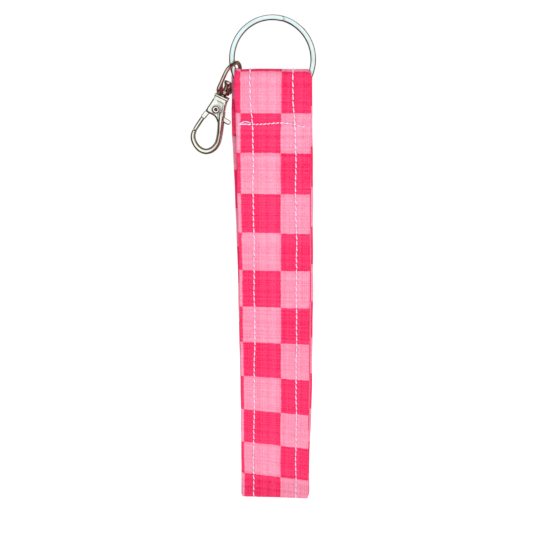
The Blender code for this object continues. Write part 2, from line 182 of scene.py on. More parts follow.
def rounded_square(a, power):
    """A point at this angle of a circle squared off by a power below 1."""
    cosine, sine = math.cos(a), math.sin(a)
    return math.copysign(abs(cosine) ** power, cosine), math.copysign(abs(sine) ** power, sine)


def new_object(name, mesh, *materials):
    made = bpy.data.objects.new(name, mesh)
    bpy.context.scene.collection.objects.link(made)
    mesh.materials.clear()
    for finish in materials:
        mesh.materials.append(finish)
    return made


def mesh_from(name, points, faces, sharp_deg=40):
    mesh = bpy.data.meshes.new(name)
    mesh.from_pydata([tuple(p) for p in points], [], faces)
    mesh.validate()
    mesh.shade_smooth()
    mesh.set_sharp_from_angle(angle=math.radians(sharp_deg))
    return mesh


def grid_faces(rows, columns, offset=0):
    """Quads over a grid of points whose rows are closed loops, with the ends capped."""
    faces = []
    for i in range(rows - 1):
        a = offset + i * columns
        b = a + columns
        for j in range(columns):
            k = (j + 1) % columns
            faces.append((a + j, a + k, b + k, b + j))
    faces.append(tuple(offset + j for j in reversed(range(columns))))
    faces.append(tuple(offset + (rows - 1) * columns + j for j in range(columns)))
    return faces


# ---------------------------------------------------------------- materials

class Nodes:
    """A short way to write a node tree."""

    def __init__(self, tree):
        self.tree = tree

    def plug(self, socket, value):
        if isinstance(value, bpy.types.NodeSocket):
            self.tree.links.new(value, socket)
        else:
            socket.default_value = value

    def node(self, kind, inputs=(), **settings):
        made = self.tree.nodes.new(kind)
        for key, value in settings.items():
            setattr(made, key, value)
        for key, value in dict(inputs).items():
            self.plug(made.inputs[key], value)
        return made

    def maths(self, operation, *values):
        made = self.node("ShaderNodeMath", enumerate(values), operation=operation)
        return made.outputs[0]

    def mix(self, factor, a, b, blend="MIX"):
        made = self.node("ShaderNodeMix", data_type="RGBA", blend_type=blend)
        for index, value in ((0, factor), (6, a), (7, b)):
            self.plug(made.inputs[index], value)
        return made.outputs[2]

    def noise(self, vector, scale, detail=2.0, roughness=0.5):
        inputs = {"Vector": vector, "Scale": scale, "Detail": detail, "Roughness": roughness}
        return self.node("ShaderNodeTexNoise", inputs).outputs["Fac"]

    def stretch(self, vector, scale):
        made = self.node("ShaderNodeVectorMath", {0: vector, 1: scale}, operation="MULTIPLY")
        return made.outputs[0]

    def ramp(self, value, low, high, to_low=0.0, to_high=1.0):
        inputs = {"Value": value, "From Min": low, "From Max": high, "To Min": to_low, "To Max": to_high}
        return self.node("ShaderNodeMapRange", inputs).outputs[0]

    def bump(self, height, distance, strength=1.0, normal=None):
        inputs = {"Height": height, "Distance": distance, "Strength": strength}
        if normal is not None:
            inputs["Normal"] = normal
        return self.node("ShaderNodeBump", inputs).outputs[0]


class Finish(Nodes):
    """A material's node tree."""

    def __init__(self, name):
        self.material = bpy.data.materials.new(name)
        self.material.use_nodes = True
        super().__init__(self.material.node_tree)

    def surface(self, **inputs):
        shader = self.tree.nodes["Principled BSDF"]
        for key, value in inputs.items():
            self.plug(shader.inputs[key.replace("_", " ")], value)
        return self.material


def colour(red, green, blue):
    """An sRGB colour, 0 to 255, as linear RGBA."""
    linear = []
    for part in (red / 255, green / 255, blue / 255):
        linear.append(part / 12.92 if part <= 0.04045 else ((part + 0.055) / 1.055) ** 2.4)
    return (*linear, 1.0)


def thread_count(nodes, value, pitch):
    """The thread's number across the cloth, and how high its round section is here, 0 to 1."""
    turns = nodes.maths("DIVIDE", value, pitch)
    return nodes.maths("FLOOR", turns), nodes.maths("COSINE", nodes.maths("MULTIPLY", turns, math.pi))


def cotton():
    """Plain-weave quilting cotton with a two-pink check. The cloth attribute holds (across, along) in mm."""
    nodes = Finish("checked_cotton")
    cloth = nodes.node("ShaderNodeAttribute", attribute_name="cloth").outputs["Vector"]
    split = nodes.node("ShaderNodeSeparateXYZ", {0: cloth}).outputs
    warp_number, warp_wave = thread_count(nodes, split[0], 0.36)
    weft_number, weft_wave = thread_count(nodes, split[1], 0.40)
    crossing = nodes.maths("ABSOLUTE", nodes.maths("MULTIPLY", warp_wave, weft_wave))
    weave = nodes.maths("POWER", crossing, 0.6)

    # The printed edge steps a little from thread to thread.
    warp_step = nodes.node("ShaderNodeTexWhiteNoise", {"W": weft_number}, noise_dimensions="1D").outputs[0]
    weft_step = nodes.node("ShaderNodeTexWhiteNoise", {"W": warp_number}, noise_dimensions="1D").outputs[0]
    wander = nodes.noise(cloth, 0.12, 1.0)
    stripes = []
    for value, step, start in ((split[0], warp_step, CHECK_COLUMN), (split[1], weft_step, CHECK_ROW)):
        place = nodes.maths("ADD", value, nodes.ramp(step, 0, 1, -0.09, 0.09))
        place = nodes.maths("ADD", place, nodes.ramp(wander, 0.3, 0.7, -0.07, 0.07))
        turn = nodes.maths("MULTIPLY", nodes.maths("SUBTRACT", place, start / MM), math.pi / (CHECK / MM))
        stripes.append(nodes.ramp(nodes.maths("SINE", turn), -0.025, 0.025))
    either = nodes.maths("ADD", *stripes)
    both = nodes.maths("MULTIPLY", *stripes)
    check = nodes.maths("SUBTRACT", either, nodes.maths("MULTIPLY", both, 2.0))

    # Dye: cloudy over millimetres, streaky along single threads.
    cloud = nodes.noise(cloth, 0.35, 3.0)
    streak_warp = nodes.noise(nodes.stretch(cloth, (2.6, 0.18, 1.0)), 1.0, 2.0)
    streak_weft = nodes.noise(nodes.stretch(cloth, (0.18, 2.4, 1.0)), 1.0, 2.0)
    fleck = nodes.noise(cloth, 1.5, 2.0, 0.6)
    warp_tone = nodes.node("ShaderNodeTexWhiteNoise", {"W": nodes.maths("ADD", warp_number, 0.37)},
                           noise_dimensions="1D").outputs[0]
    weft_tone = nodes.node("ShaderNodeTexWhiteNoise", {"W": nodes.maths("ADD", weft_number, 0.71)},
                           noise_dimensions="1D").outputs[0]
    tone = nodes.maths("ADD", nodes.maths("ADD", warp_tone, weft_tone), nodes.ramp(fleck, 0.3, 0.7, 0.0, 1.3))
    tone = nodes.ramp(tone, 0.5, 2.8)
    light = nodes.mix(tone, colour(248, 122, 156), colour(255, 170, 196))
    hot = nodes.mix(tone, colour(243, 18, 78), colour(255, 74, 126))
    dyed = nodes.mix(check, hot, light)
    depth = nodes.ramp(cloud, 0.3, 0.7, -0.05, 0.05)
    depth = nodes.maths("ADD", depth, nodes.ramp(streak_warp, 0.3, 0.7, -0.05, 0.05))
    depth = nodes.maths("ADD", depth, nodes.ramp(streak_weft, 0.3, 0.7, -0.04, 0.04))
    depth = nodes.maths("ADD", depth, nodes.ramp(weave, 0.0, 1.0, 0.88, 1.04))

    # Painted shade: the cloth's colour is darkened in its hollows, by ambient occlusion, and towards the
    # bottom fold, which faces away from the light.
    occlusion_shade = nodes.node("ShaderNodeAmbientOcclusion", {"Distance": 2.2 * MM}, samples=6).outputs["AO"]
    depth = nodes.maths("MULTIPLY", depth, nodes.ramp(occlusion_shade, 0.25, 0.8, 0.66, 1.0))
    depth = nodes.maths("MULTIPLY", depth, nodes.ramp(split[1], -142.0, -129.0, 0.86, 1.0))
    shade = nodes.node("ShaderNodeCombineColor", {0: depth, 1: depth, 2: depth}).outputs[0]
    base = nodes.mix(1.0, dyed, shade, "MULTIPLY")
    fuzz = nodes.noise(cloth, 6.0, 2.0)
    normal = nodes.bump(weave, 0.05 * MM, 0.7)
    normal = nodes.bump(fuzz, 0.04 * MM, 0.4, normal)
    return nodes.surface(Base_Color=base, Roughness=nodes.ramp(weave, 0, 1, 0.92, 0.78), Normal=normal,
                         Sheen_Weight=0.06, Sheen_Roughness=0.45, Sheen_Tint=colour(255, 190, 205),
                         Specular_IOR_Level=0.1)


def thread():
    """Pale lilac polyester thread, its plies shown by the geometry, with fine fibre lines."""
    nodes = Finish("sewing_thread")
    place = nodes.node("ShaderNodeTexCoord").outputs["Object"]
    fibres = nodes.noise(place, 9000.0, 3.0)
    patch = nodes.noise(place, 700.0, 1.0)
    base = nodes.mix(nodes.ramp(patch, 0.35, 0.65), colour(246, 214, 244), colour(254, 236, 254))
    base = nodes.mix(nodes.ramp(fibres, 0.35, 0.7, 0.0, 0.25), base, colour(240, 196, 236))
    normal = nodes.bump(fibres, 0.03 * MM, 0.6)
    return nodes.surface(Base_Color=base, Roughness=0.55, Normal=normal, Sheen_Weight=0.3,
                         Sheen_Roughness=0.3, Specular_IOR_Level=0.45)


def nickel(name, tint, tarnish_and_painted_reflection, low_roughness, high_roughness, wear=1.0):
    """Bright plating: cloudy polish, fine scratches in two directions, dull spots, and painted shade that
    darkens its recesses.
    """
    nodes = Finish(name)
    place = nodes.node("ShaderNodeTexCoord").outputs["Object"]
    geometry = nodes.node("ShaderNodeNewGeometry").outputs
    cloud = nodes.noise(place, 420.0, 3.0)
    scratch_a = nodes.noise(nodes.stretch(place, (900.0, 900.0, 9000.0)), 1.0, 2.0)
    scratch_b = nodes.noise(nodes.stretch(place, (8000.0, 2500.0, 700.0)), 1.0, 2.0)
    scratches = nodes.maths("MAXIMUM", nodes.ramp(scratch_a, 0.62, 0.72), nodes.ramp(scratch_b, 0.64, 0.74))
    spots = nodes.ramp(nodes.noise(place, 2600.0, 1.0), 0.68, 0.74)
    occlusion_shade = nodes.node("ShaderNodeAmbientOcclusion", {"Distance": 1.1 * MM}, samples=8).outputs["AO"]
    painted_recess_shade = nodes.ramp(occlusion_shade, 0.35, 0.92, 1.0, 0.0)
    ridge = nodes.ramp(geometry["Pointiness"], 0.52, 0.60)
    base = nodes.mix(nodes.ramp(cloud, 0.4, 0.75, 0.0, 0.35), tint, tarnish_and_painted_reflection)
    # Painted shade: occluded recesses are darkened towards dark maroon in the base colour.
    base = nodes.mix(nodes.maths("MULTIPLY", painted_recess_shade, 0.9), base, colour(74, 28, 30))
    base = nodes.mix(nodes.maths("MULTIPLY", ridge, 0.35 * wear), base, colour(240, 240, 236))
    base = nodes.mix(nodes.maths("MULTIPLY", spots, 0.25), base, tarnish_and_painted_reflection)
    rough = nodes.ramp(cloud, 0.3, 0.7, low_roughness, high_roughness)
    rough = nodes.maths("ADD", rough, nodes.maths("MULTIPLY", scratches, 0.10 * wear))
    rough = nodes.maths("ADD", rough, nodes.maths("MULTIPLY", spots, 0.15))
    normal = nodes.bump(scratches, -0.004 * MM, 0.5)
    normal = nodes.bump(cloud, 0.015 * MM, 0.5, normal)
    return nodes.surface(Base_Color=base, Metallic=1.0, Roughness=rough, Normal=normal)


COTTON = cotton()
THREAD = thread()
RING_PLATE = nickel("ring_plate", colour(213, 227, 230), colour(190, 176, 160), 0.07, 0.16)
CLASP_PLATE = nickel("clasp_plate", colour(236, 234, 228), colour(186, 170, 148), 0.10, 0.22)
# The bail's pinkish tint and brown tarnish colour are a painted reflection of the pink strap.
BAIL_PLATE = nickel("bail_plate", colour(206, 186, 176), colour(150, 96, 84), 0.14, 0.28)
# A dark maroon finish for the rivet dimples: painted shade, and a painted reflection of the pink strap.
DIMPLE_SHADE = nickel("rivet_dimple_painted_shade", colour(92, 24, 34), colour(60, 20, 24), 0.3, 0.45)
SPRING_WIRE = nickel("spring_wire", colour(150, 150, 152), colour(110, 100, 96), 0.25, 0.4)


# ---------------------------------------------------------------- the band's shape

def half_gap(z):
    """How far a layer's centre line is from the middle plane at this height."""
    tunnel = (TUNNEL_RADIUS - LAYER_Y) * ease((z - FOLD_PIVOT.z) / TUNNEL_FLARE)
    bend = (BEND_RADIUS - LAYER_Y) * ease((BEND_Z + 2 * BEND_RADIUS - z) / (2 * BEND_RADIUS))
    return LAYER_Y + tunnel + bend


def band_line():
    """The centre line from the seam's back, over the ring, down the front and up the back, as (q, y, z)."""
    step = 0.05 * MM
    rise = np.arange(SEAM_BACK_END, TUNNEL_Z, step)
    fall = np.arange(TUNNEL_Z, BEND_Z, -step)
    climb = np.arange(BEND_Z, BACK_TOP, step)
    turn = np.radians(np.arange(0.5, 180, 1.0))
    over_y, over_z = TUNNEL_RADIUS * np.cos(turn), TUNNEL_Z + TUNNEL_RADIUS * np.sin(turn)
    under_y, under_z = -BEND_RADIUS * np.cos(turn), BEND_Z - BEND_RADIUS * np.sin(turn)
    parts = [(half_gap(rise), rise, 1.0),
             (over_y, over_z, 1 + CREST_PRINT / TUNNEL_RADIUS),
             (-half_gap(fall), fall, 1.0),
             (under_y, under_z, 1 + BEND_PRINT / BEND_RADIUS),
             (half_gap(climb), climb, 1.0)]
    y = np.concatenate([part[0] for part in parts])
    z = np.concatenate([part[1] for part in parts])
    stretch = np.concatenate([np.full(len(part[0]), part[2]) for part in parts])
    run = np.hypot(np.diff(y), np.diff(z)) * (stretch[1:] + stretch[:-1]) / 2
    q = np.concatenate([[0.0], np.cumsum(run)])
    front = slice(len(parts[0][0]) + len(turn), len(y) - len(turn) - len(climb))
    q -= np.interp(0.0, -z[front], q[front])
    return q, y + MID_Y, z, q[front.start - len(turn) // 2], q[front.stop], q[front.stop + len(turn)]


LINE_Q, LINE_Y, LINE_Z, CREST_Q, BEND_Q, TURN_Q = band_line()
BAND_START, BAND_END = LINE_Q[0], LINE_Q[-1]


def centre_at(q):
    """Centre points and outward normals, both (y, z), at these q."""
    near = 0.15 * MM
    y, z = np.interp(q, LINE_Q, LINE_Y), np.interp(q, LINE_Q, LINE_Z)
    dy = np.interp(q + near, LINE_Q, LINE_Y) - np.interp(q - near, LINE_Q, LINE_Y)
    dz = np.interp(q + near, LINE_Q, LINE_Z) - np.interp(q - near, LINE_Q, LINE_Z)
    length = np.hypot(dy, dz)
    return y, z, dz / length, -dy / length


def side_shift(q):
    """The back layer leans to the left near the top."""
    over_top = ease((CREST_Q - q) / (4.5 * MM))
    back = np.exp(np.minimum(q - BAND_END, 0) / BACK_REACH) * (q > BEND_Q)
    return BACK_SHIFT * (over_top + back)


def tuck(q):
    """How far the inner folded edge stands out past the outer one."""
    return 0.3 * MM + 0.85 * MM * ease((q + 30 * MM) / (90 * MM)) * (1 - ease((q - 90 * MM) / (45 * MM)))


def stitch_x(side, q):
    """The x of a row of topstitching. It drifts by steps of (mm across, start, length) and wobbles."""
    offset = ROW_OFFSET[side]
    for across, start, length in ROW_DRIFT[side]:
        offset = offset + across * ease((q / MM - start) / length)
    wobble = 0.09 * np.sin(q / (5.3 * MM)) + 0.06 * np.sin(q / (2.1 * MM) + 1.3)
    return STITCH_X[side] + (offset + wobble) * MM + side_shift(q)


def ripple(x, q, wavelength, seed):
    """A gentle wavy field, about -1 to 1."""
    dice = random.Random(seed)
    total = 0
    for _ in range(6):
        angle = dice.uniform(0, math.pi)
        turns = math.tau / (wavelength * dice.uniform(0.6, 1.8))
        along = x * math.cos(angle) + q * math.sin(angle)
        total = total + np.sin(along * turns + dice.uniform(0, math.tau))
    return total / 3


def dips(x, q, facing):
    """How far stitching pulls a face in: a channel, a pit at each needle hole and small puckers beside."""
    total = 0
    for side in ("left", "right"):
        off = x - stitch_x(side, q)
        to_hole = (q / STITCH_PITCH - np.round(q / STITCH_PITCH)) * STITCH_PITCH
        total = total + CHANNEL_DEPTH * bump(off / CHANNEL_WIDTH)
        total = total + HOLE_DEPTH * bump(np.hypot(off, to_hole) / HOLE_WIDTH)
        total = total + 0.05 * MM * ripple(x, q, 3.2 * MM, 11 + facing) * bump(off / (2.4 * MM))
    if facing > 0:
        off = q + bar_height(x)
        inside = ease((HALF_WIDTH - np.abs(x)) / (2 * MM)) * (np.abs(q) < 5 * MM)
        total = total + CHANNEL_DEPTH * bump(off / CHANNEL_WIDTH) * inside
        total = total + 0.05 * MM * ripple(x, q, 2.4 * MM, 5) * bump(off / (1.8 * MM)) * inside
    return total


def bar_height(x):
    """The bar seam's z: it bows up a little right of the middle and sinks at its right end."""
    bow = 0.6 * bump((x - 2.8 * MM) / (4.5 * MM))
    sink = 0.7 * ease((x - 6 * MM) / (4.5 * MM))
    return (0.1 + bow - sink) * MM


def sleeve_outline():
    """The folded sleeve's section, as x, height share, print across, print skew, tuck share and facing.

    It starts between the two folded edges at the right and runs left along the outer face, round the left
    edge and back along the inner face.
    """
    quarter = math.pi / 2
    left, right = EDGE - HALF_WIDTH, HALF_WIDTH + 0.1 * MM - LIP
    lip_arc = (LIP + HALF_LAYER / 2) / 2
    edge_arc = (EDGE + HALF_LAYER) / 2
    points = []
    for a in np.linspace(-quarter, quarter, EDGE_POINTS):
        across = right + (quarter - a) * lip_arc
        points.append((right + LIP * math.cos(a), 0.53 + 0.47 * math.sin(a), across, 0, 0, 1))
    for x in np.linspace(right, left, FACE_POINTS)[1:]:
        points.append((x, 1, x, 0, 0, 1))
    for a in np.linspace(quarter, -quarter, EDGE_POINTS)[1:-1]:
        across = left - (quarter - a) * edge_arc
        points.append((left - EDGE * math.cos(a) ** 0.8, math.sin(a), across, 0, 0, 1 if a > 0 else -1))
    turned_at = left - math.pi * edge_arc
    for x in np.linspace(left, right, FACE_POINTS):
        share = (x - left) / (right - left)
        points.append((x, -1, turned_at - (x - left), share, ease((share - 0.6) / 0.4), -1))
    for a in np.linspace(-quarter, quarter, EDGE_POINTS)[1:]:
        across = turned_at - (right - left) - (a + quarter) * lip_arc
        points.append((right + LIP * math.cos(a), -0.53 + 0.47 * math.sin(a), across, 1, 1, -1))
    return np.array(points).T


OUTLINE = sleeve_outline()


def settle(points):
    """Moves the points: the bottom sags, the crest gets its shape and its corners open round the ring."""
    x, y, z = points[..., 0], points[..., 1], points[..., 2]
    sag = BOTTOM_DROP - BOTTOM_SLANT * x / HALF_WIDTH
    z = z - sag * ease((BEND_Z + 8 * MM - z) / (9 * MM))
    high = ease((z - TUNNEL_Z + 0.8 * MM) / (2.6 * MM))
    from_left = x + HALF_WIDTH
    lift = CREST_LIFT + LEFT_LIP * bump((from_left - 0.3 * MM) / MM)
    behind_ring = y - RING_CENTRE.y
    dent = bump((from_left - 2.2 * MM) / (1.8 * MM)) * bump((behind_ring - 1.55 * MM) / (1.4 * MM))
    lift = lift - BAIL_DENT * dent - RIGHT_DIP * ease((x - 11.4 * MM) / MM)
    dx, dz = x - RING_CENTRE.x, z + lift * high - RING_CENTRE.z
    reach = np.hypot(dx, dz)
    wire_inner = (RING_HIGH.x - RING_LOW.x) / 2 - RING_WIDTH - 0.3 * MM
    room = (RING_HIGH.y - RING_LOW.y) / 2 + 0.75 * MM
    near = ease((room - np.abs(behind_ring)) / (0.6 * MM)) * ease((z - TUNNEL_Z) / (1.2 * MM))
    inwards = 1 - np.maximum(reach - wire_inner, 0) * near / reach
    points[..., 0] = RING_CENTRE.x + dx * inwards
    points[..., 2] = RING_CENTRE.z + dz * inwards
    return points


def band_heights(x, q, share, facing):
    """Heights off the centre line: thickness, stitching, puffs between the stitches and a slow sway."""
    flat = np.clip(np.abs(share), 0, 1) ** 4
    pinch = np.where(facing > 0, dips(x, q, 1), dips(x, q, -1))
    puff = 0.05 * MM * ripple(x, q, 14 * MM, 3)
    ends = ease((q - 8 * MM) / (20 * MM)) * ease((BAND_END - q - 8 * MM) / (20 * MM))
    sway = 0.06 * MM * ripple(x, q, 30 * MM, 9) * ends
    return share * HALF_LAYER + facing * (puff - pinch) * flat + sway


def band_points(q):
    """Points of the sleeve on a grid of q rows and outline columns, with their print coordinates."""
    x0, share, across, skew, tucked, facing = OUTLINE
    q = q[:, None]
    y, z, ny, nz = centre_at(q)
    drawn_in = WAIST * np.sin(math.pi * np.clip((q + 10 * MM) / (BEND_Q + 10 * MM), 0, 1))
    waist = drawn_in * np.clip(-x0 / HALF_WIDTH, 0, 1)
    edge = 0.06 * MM * np.sin(q / (7.0 * MM) + facing) + 0.04 * MM * np.sin(q / (2.7 * MM) + 2 * facing)
    x = x0 + waist + tuck(q) * tucked + side_shift(q) + edge * np.clip(np.abs(x0) / HALF_WIDTH, 0, 1) ** 6
    height = band_heights(x, q, share, facing)
    points = np.stack([x, y + ny * height, z + nz * height], axis=-1)

    across = across + waist + 0.3 * MM * ease((q - 80 * MM) / (50 * MM))
    across = across - 0.4 * MM * ease((8 * MM - q) / (20 * MM))
    slant = 1.1 * MM * x0 / HALF_WIDTH * ease((q - 60 * MM) / (70 * MM)) * (q < BAND_END - 60 * MM)
    along = -q - PRINT_SKEW * skew + slant - np.interp(q, PRINT_DRIFT_Q, PRINT_DRIFT)
    return settle(points), np.stack([across, along, np.zeros_like(along)], axis=-1) / MM


def round_end(points, q, end):
    """Folds the sleeve's end in to a round edge."""
    y, z, _, _ = centre_at(q)
    middle = points.copy()
    middle[:, :, 1] = y[:, None]
    middle[:, :, 2] = z[:, None]
    reach = np.clip(np.abs(q - q[end]) / END_ROUND, 0, 1)
    share = 0.3 + 0.7 * np.sqrt(1 - (1 - reach) ** 2)
    return middle + (points - middle) * share[:, None, None]


def band_piece(name, q_start, q_end, spacing=ROW_SPACING, rounded=()):
    """A closed length of the sleeve. rounded lists the ends, 0 or -1, that have a round edge."""
    rows = max(int(round((q_end - q_start) / spacing)), 2) + 1
    q = np.linspace(q_start, q_end, rows)
    for end in rounded:
        inwards = 1 if end == 0 else -1
        q = np.sort(np.append(q, [q[end] + inwards * END_ROUND * share for share in (1 / 3, 2 / 3)]))
    points, print_at = band_points(q)
    for end in rounded:
        points = round_end(points, q, end)
    mesh = mesh_from(name, points.reshape(-1, 3), grid_faces(*points.shape[:2]), 60)
    attribute = mesh.attributes.new("cloth", "FLOAT_VECTOR", "POINT")
    attribute.data.foreach_set("vector", print_at.reshape(-1).astype(np.float32))
    return new_object(name, mesh, COTTON)


# ---------------------------------------------------------------- stitches

def thread_rings(path, normals, radius, twist=2.4, sides=8):
    """Rings of points round a thread whose two plies twist round each other."""
    path = np.array(path)
    along = np.gradient(path, axis=0)
    along /= np.linalg.norm(along, axis=1)[:, None]
    across = np.cross(along, normals)
    across /= np.linalg.norm(across, axis=1)[:, None]
    third = np.cross(across, along)
    run = np.concatenate([[0], np.cumsum(np.linalg.norm(np.diff(path, axis=0), axis=1))]) / MM
    ends = np.minimum(np.arange(len(path)), np.arange(len(path))[::-1])
    a = np.linspace(0, math.tau, sides, endpoint=False)
    rings = []
    for i, point in enumerate(path):
        size = radius * (0.55 if ends[i] == 0 else 1.0)
        lobes = size * (1 + 0.16 * np.cos(2 * (a - twist * run[i])))
        u, v = np.cos(a) * lobes, np.sin(a) * lobes
        rings.append(point + u[:, None] * across[i] + v[:, None] * third[i])
    return np.array(rings)


def on_face(x, q, height, facing):
    """A point and its outward normal, at this height off one face of the sleeve at (x, q)."""
    y, z, ny, nz = centre_at(np.array([q]))
    lift = facing * (HALF_LAYER - CHANNEL_DEPTH * 0.9 + height)
    point = np.array([[x, y[0] + ny[0] * lift, z[0] + nz[0] * lift]])
    return settle(point)[0], facing * np.array([0.0, ny[0], nz[0]])


def stitch(start, end, facing, lift, steps=8):
    """One stitch between two needle holes, each (x, q). It dives into the cloth at both ends."""
    path, normals = [], []
    for t in np.linspace(0.02, 0.98, steps):
        x = start[0] + (end[0] - start[0]) * t
        q = start[1] + (end[1] - start[1]) * t
        height = lift * math.sin(math.pi * t) ** 0.55 - 0.30 * MM * (1 - math.sin(math.pi * t)) ** 6
        point, normal = on_face(x, q, height, facing)
        path.append(point)
        normals.append(normal)
    return thread_rings(path, np.array(normals), THREAD_RADIUS)


def row_stitches(side, q_start, q_end, facing):
    """A row's stitches between two q. Needle holes keep to one pitch along the whole band."""
    made = []
    last = min(math.ceil(q_end / STITCH_PITCH), math.floor(BAND_END / STITCH_PITCH))
    for k in range(math.ceil(q_start / STITCH_PITCH), last):
        dice = random.Random(f"{side}{k}{facing}")
        a, b = (k + 0.07) * STITCH_PITCH, (k + 0.93) * STITCH_PITCH
        if facing < 0:
            a, b = a + 0.15 * MM, b - 0.15 * MM
        lean = (0.09 + dice.uniform(-0.08, 0.08)) * MM
        made.append(stitch((stitch_x(side, a) - lean, a), (stitch_x(side, b) + lean, b), facing,
                           dice.uniform(0.15, 0.23) * MM))
    return made


def stitch_piece(name, stitches):
    points, faces = [], []
    for rings in stitches:
        count, sides = rings.shape[:2]
        faces += grid_faces(count, sides, len(points))
        points += list(rings.reshape(-1, 3))
    mesh = mesh_from(name, points, faces, 180)
    bm = bmesh.new()
    bm.from_mesh(mesh)
    bmesh.ops.recalc_face_normals(bm, faces=bm.faces)
    bm.to_mesh(mesh)
    bm.free()
    mesh.shade_smooth()
    made = new_object(name, mesh, THREAD)
    return made


# The bar seam's backstitched start, in mm from its left end: a slack loop of thread over a second short row
SLACK_LOOP = [(0, -0.05), (0.9, -0.62), (1.9, -1.05), (3.0, -0.95), (3.9, -0.55)]
SECOND_ROW = [((0.2, -0.22), (1.5, -0.10)), ((1.4, -0.30), (2.7, -0.18)), ((2.6, -0.18), (3.9, -0.06))]


def bar_stitches():
    """The bar seam, with its backstitched start."""
    low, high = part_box("bar_seam_thread")
    left = np.array([low.x, 0])
    dice = random.Random(7)
    made = []
    x = low.x
    while x < high.x - 0.4 * MM:
        step = BAR_PITCH * dice.uniform(0.85, 1.12)
        a = (x + 0.12 * MM, -bar_height(x) + 0.10 * MM)
        b = (x + step - 0.14 * MM, -bar_height(x + step) - 0.12 * MM)
        made.append(stitch(a, b, 1, dice.uniform(0.24, 0.32) * MM))
        x += step
    for pairs, lift in ((zip(SLACK_LOOP, SLACK_LOOP[1:]), 0.34 * MM), (SECOND_ROW, 0.36 * MM)):
        for start, end in pairs:
            made.append(stitch(left + np.array(start) * MM, left + np.array(end) * MM, 1, lift))
    return made


# ---------------------------------------------------------------- the strap's pieces

UPPER_CUT = 2.0 * MM
LOWER_CUT = -(LOOP_PIVOT.z + MIDDLE_PIVOT.z) / 2
FRONT_BEND = ((0, MIDDLE_PIVOT.y, MIDDLE_PIVOT.z + 7 * MM), (0, MIDDLE_PIVOT.y, MIDDLE_PIVOT.z - 7 * MM))
BACK_BEND = ((0, BACK_PIVOT.y, BACK_PIVOT.z - 7 * MM), (0, BACK_PIVOT.y, BACK_PIVOT.z + 7 * MM))
FOLD_BEND = ((0, 0, FOLD_PIVOT.z - 2.4 * MM), (0, 0, FOLD_PIVOT.z + 2.4 * MM))
LOOP_BEND = ((0, 0, LOOP_PIVOT.z + 1.8 * MM), (0, 0, LOOP_PIVOT.z - 1.8 * MM))
TURN_BEND = ((0, MID_Y - BEND_RADIUS + LAYER / 2, 0), (0, MID_Y + BEND_RADIUS - LAYER / 2, 0))


def strap_piece(name, q_start, q_end, bend, replaced, spacing=ROW_SPACING, rounded=(), extra=()):
    """A length of cloth and its stitches."""
    cloth = band_piece(f"strap_{name}", q_start, q_end, spacing, rounded)
    stitches = list(extra)
    for side in ("left", "right"):
        for facing in (1, -1):
            stitches += row_stitches(side, q_start, q_end, facing)
    sewn = stitch_piece(f"stitching_{name}", stitches)
    for piece in (cloth, sewn):
        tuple(bend[0])
        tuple(bend[1])
        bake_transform(piece)
    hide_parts(*[f"{panel}_{part}" for panel in replaced for part in ("cover", "core")])
    rows = [f"{panel}_stitch_{side}" for panel in replaced for side in ("left", "right")]
    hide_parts(*[row for row in rows if row in frame["nodes"]])
    return sewn


def strap():
    """The band in five lengths."""
    sewn = strap_piece("top", BAND_START, UPPER_CUT, FOLD_BEND,
                       ("fold", "seam_front", "seam_back"), rounded=(0,), extra=bar_stitches())
    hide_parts("bar_seam_thread")
    strap_piece("front_upper", UPPER_CUT, LOWER_CUT, LOOP_BEND, ("front_upper",))
    strap_piece("front_lower", LOWER_CUT, BEND_Q, FRONT_BEND,
                ("front_lower",))
    strap_piece("bottom_fold", BEND_Q, TURN_Q, TURN_BEND, (), BEND_SPACING)
    strap_piece("back", TURN_Q, BAND_END, BACK_BEND,
                ("back_lower", "back_upper"), rounded=(-1,))


# ---------------------------------------------------------------- split ring

def split_ring():
    """Two turns of flat wire with fully round edges, stepping from the front coil to the back coil."""
    pitch = RING_HIGH.y - RING_LOW.y - RING_THICK
    radius = (RING_HIGH.x - RING_LOW.x - RING_WIDTH) / 2
    first_cut, half_step = 62.0, 12.0
    steps, sides = 560, 32
    turn = 720 - 2 * half_step
    points = []
    for i in range(steps + 1):
        run = turn * i / steps
        shift = pitch * (ease((run - turn / 2) / (2 * half_step) + 0.5) - 0.5)
        angle = math.radians(first_cut + half_step + run)
        outward = Vector((math.cos(angle), 0, math.sin(angle)))
        end = min(i, steps - i)
        size = (0.62, 0.85, 0.96)[end] if end < 3 else 1.0
        for k in range(sides):
            cosine, sine = rounded_square(math.tau * k / sides, 0.88)
            r, y = RING_WIDTH / 2 * cosine * size, RING_THICK / 2 * sine * size
            points.append(RING_CENTRE + outward * (radius + r) + Vector((0, shift + y, 0)))
    mesh = mesh_from("split_ring_wire", points, grid_faces(steps + 1, sides), 50)
    ring = new_object("split_ring_wire", mesh, RING_PLATE)
    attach(ring, "ring")
    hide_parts("split_ring")


# ---------------------------------------------------------------- clasp

def smooth_line(points, steps=6, closed=False):
    """A smooth Catmull-Rom line through rows of numbers."""
    points = [np.array(p, float) for p in points]
    if closed:
        padded = [points[-1]] + points + points[:2]
    else:
        padded = [2 * points[0] - points[1]] + points + [2 * points[-1] - points[-2]]
    line = []
    for a, b, c, d in zip(padded, padded[1:], padded[2:], padded[3:]):
        for t in np.arange(steps) / steps:
            squared = 2 * a - 5 * b + 4 * c - d
            cubed = 3 * b - a - 3 * c + d
            line.append(0.5 * (2 * b + (c - a) * t + squared * t ** 2 + cubed * t ** 3))
    if not closed:
        line.append(points[-1])
    return np.array(line)


